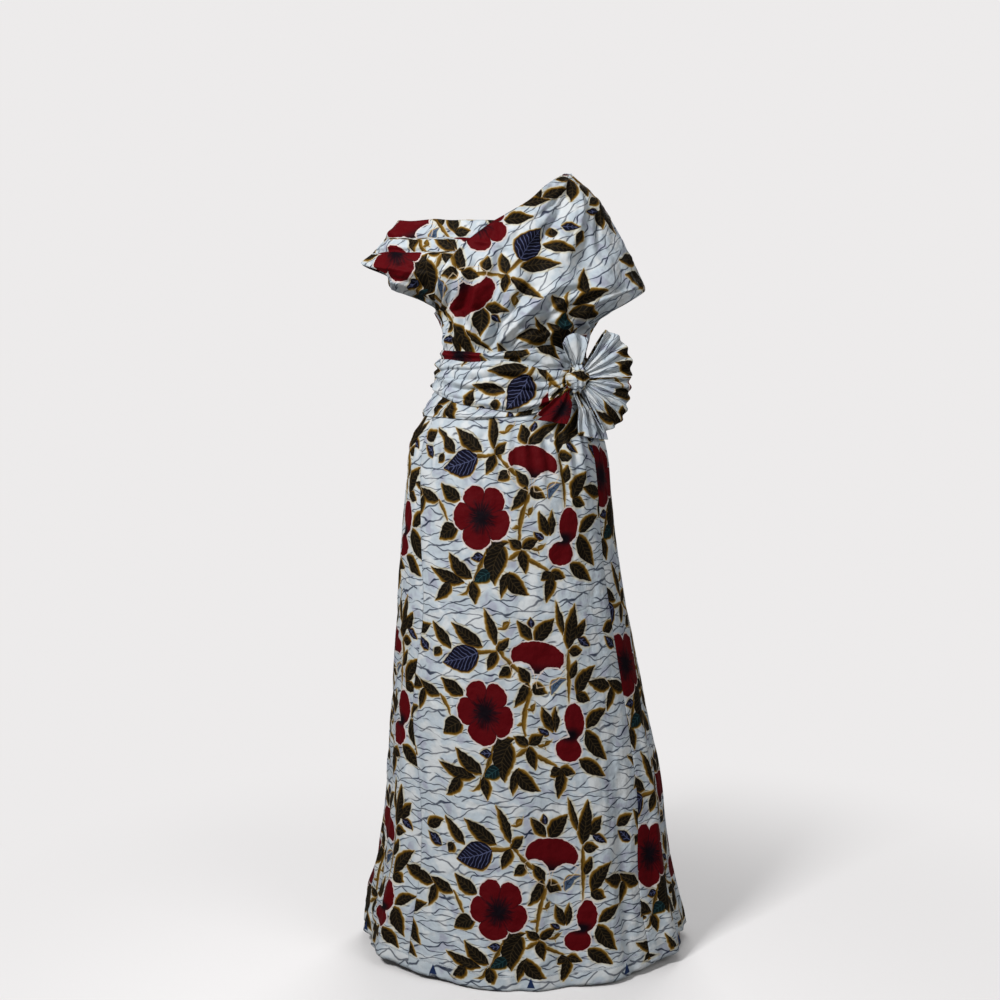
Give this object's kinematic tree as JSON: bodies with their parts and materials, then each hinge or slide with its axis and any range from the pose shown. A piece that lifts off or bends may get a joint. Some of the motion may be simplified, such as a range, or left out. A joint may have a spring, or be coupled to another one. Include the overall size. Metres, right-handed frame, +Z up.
{
  "type": "ankara maxi dress",
  "caption": "Floor-length ankara print dress in its worn, hollow form: a drape over the left shoulder, an off-shoulder band on the right, a wide sash tied in a side bow, a full gathered skirt.",
  "frame": {"origin": "on top of the wearer's left shoulder, where the drape hangs from it", "axes": "+Z up along the dress, from hem to shoulder; -Y to the front; +X to the wearer's left"},
  "size_m": [0.6311, 0.4871, 1.4617],
  "materials": {
    "ankara_print": "crisp cotton wax print, pale blue ground with crimson flowers and dark leaves"
  },
  "bodies": {
    "root": {"band_back": "ankara_print", "band_front": "ankara_print", "bow_knot": "ankara_print", "bow_lower_loop": "ankara_print", "bow_pleated_tail": "ankara_print", "bow_side_tail": "ankara_print", "bow_top_loop": "ankara_print", "bow_upper_loop": "ankara_print", "drape_back": "ankara_print", "drape_front": "ankara_print", "sash_low_wrap": "ankara_print", "sash_middle_wrap": "ankara_print", "sash_top_wrap": "ankara_print", "skirt_back_left": "ankara_print", "skirt_back_right": "ankara_print", "skirt_front": "ankara_print"}
  },
  "joints": []
}
